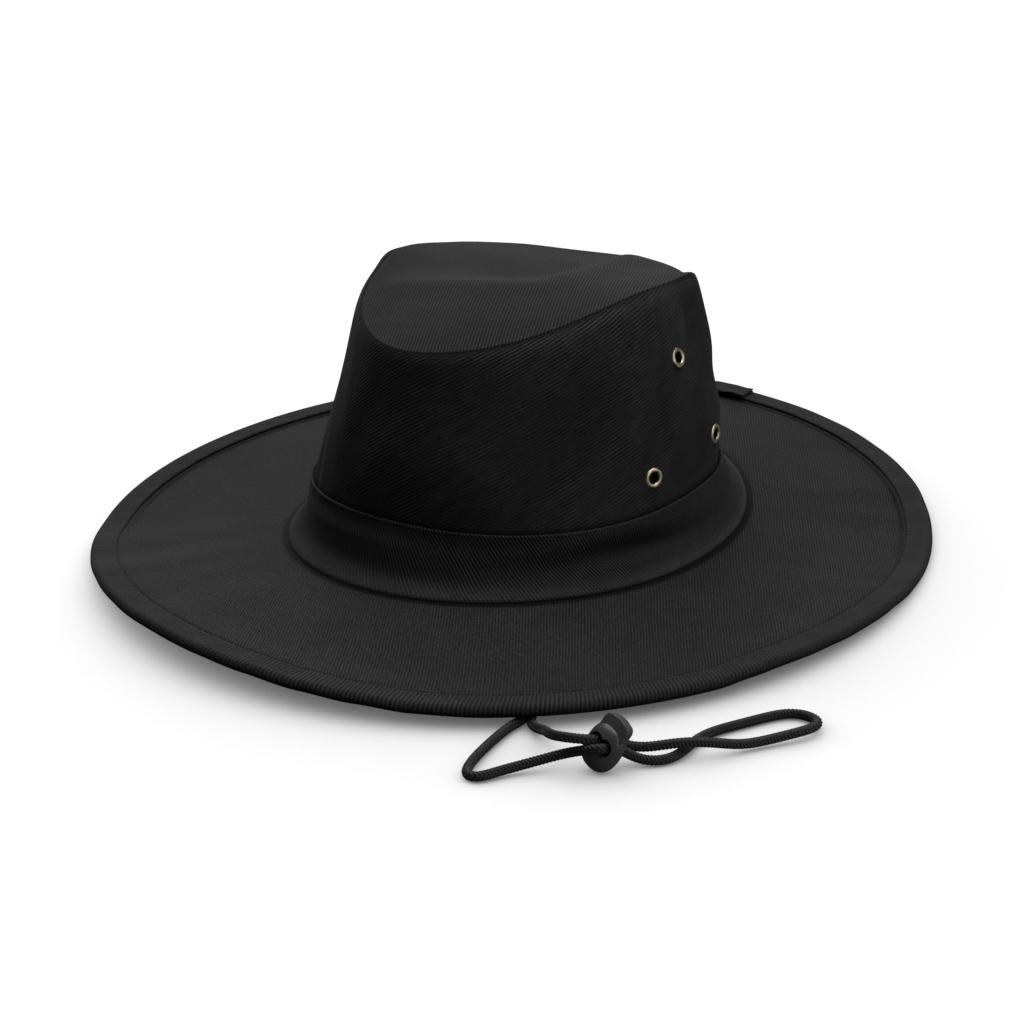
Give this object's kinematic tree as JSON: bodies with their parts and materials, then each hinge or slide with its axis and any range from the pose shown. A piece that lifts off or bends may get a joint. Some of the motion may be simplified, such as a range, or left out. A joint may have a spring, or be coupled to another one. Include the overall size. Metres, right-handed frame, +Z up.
{
  "type": "wide-brim hat",
  "caption": "Black cotton twill hat with a wide stitched brim, a creased crown with vent eyelets, and a chin cord with a sliding lock.",
  "frame": {"origin": "on the resting surface, below the middle of the brim; the cord is left out of that middle", "axes": "+Z up; the front of the hat looks to -Y and the back to +Y; the wearer's left is +X"},
  "size_m": [0.3682, 0.3783, 0.1198],
  "materials": {
    "twill": "matt black cotton twill",
    "braid": "black braided cord",
    "tab_cloth": "blank black woven tab",
    "eyelet_metal": "antique brass, dulled",
    "lock_plastic": "black satin plastic"
  },
  "bodies": {
    "hat": {"crown_top": "twill", "crown_wall": "twill", "hat_band": "twill", "brim": "twill", "brim_hem": "twill", "eyelet_left_top": "eyelet_metal", "eyelet_left_back": "eyelet_metal", "eyelet_left_front": "eyelet_metal", "eyelet_right_top": "eyelet_metal", "eyelet_right_back": "eyelet_metal", "eyelet_right_front": "eyelet_metal", "back_tab": "tab_cloth", "chin_cord": "braid", "lock_body": "lock_plastic"},
    "plunger": {"lock_plunger": "lock_plastic"}
  },
  "joints": [
    {"name": "lock_press", "type": "slide", "parent": "hat", "child": "plunger", "axis": [-0.4089, -0.3063, -0.8597], "range_m": [0, 0.0022], "stiffness_N_per_m": 400, "springref_m": -0.004}
  ]
}
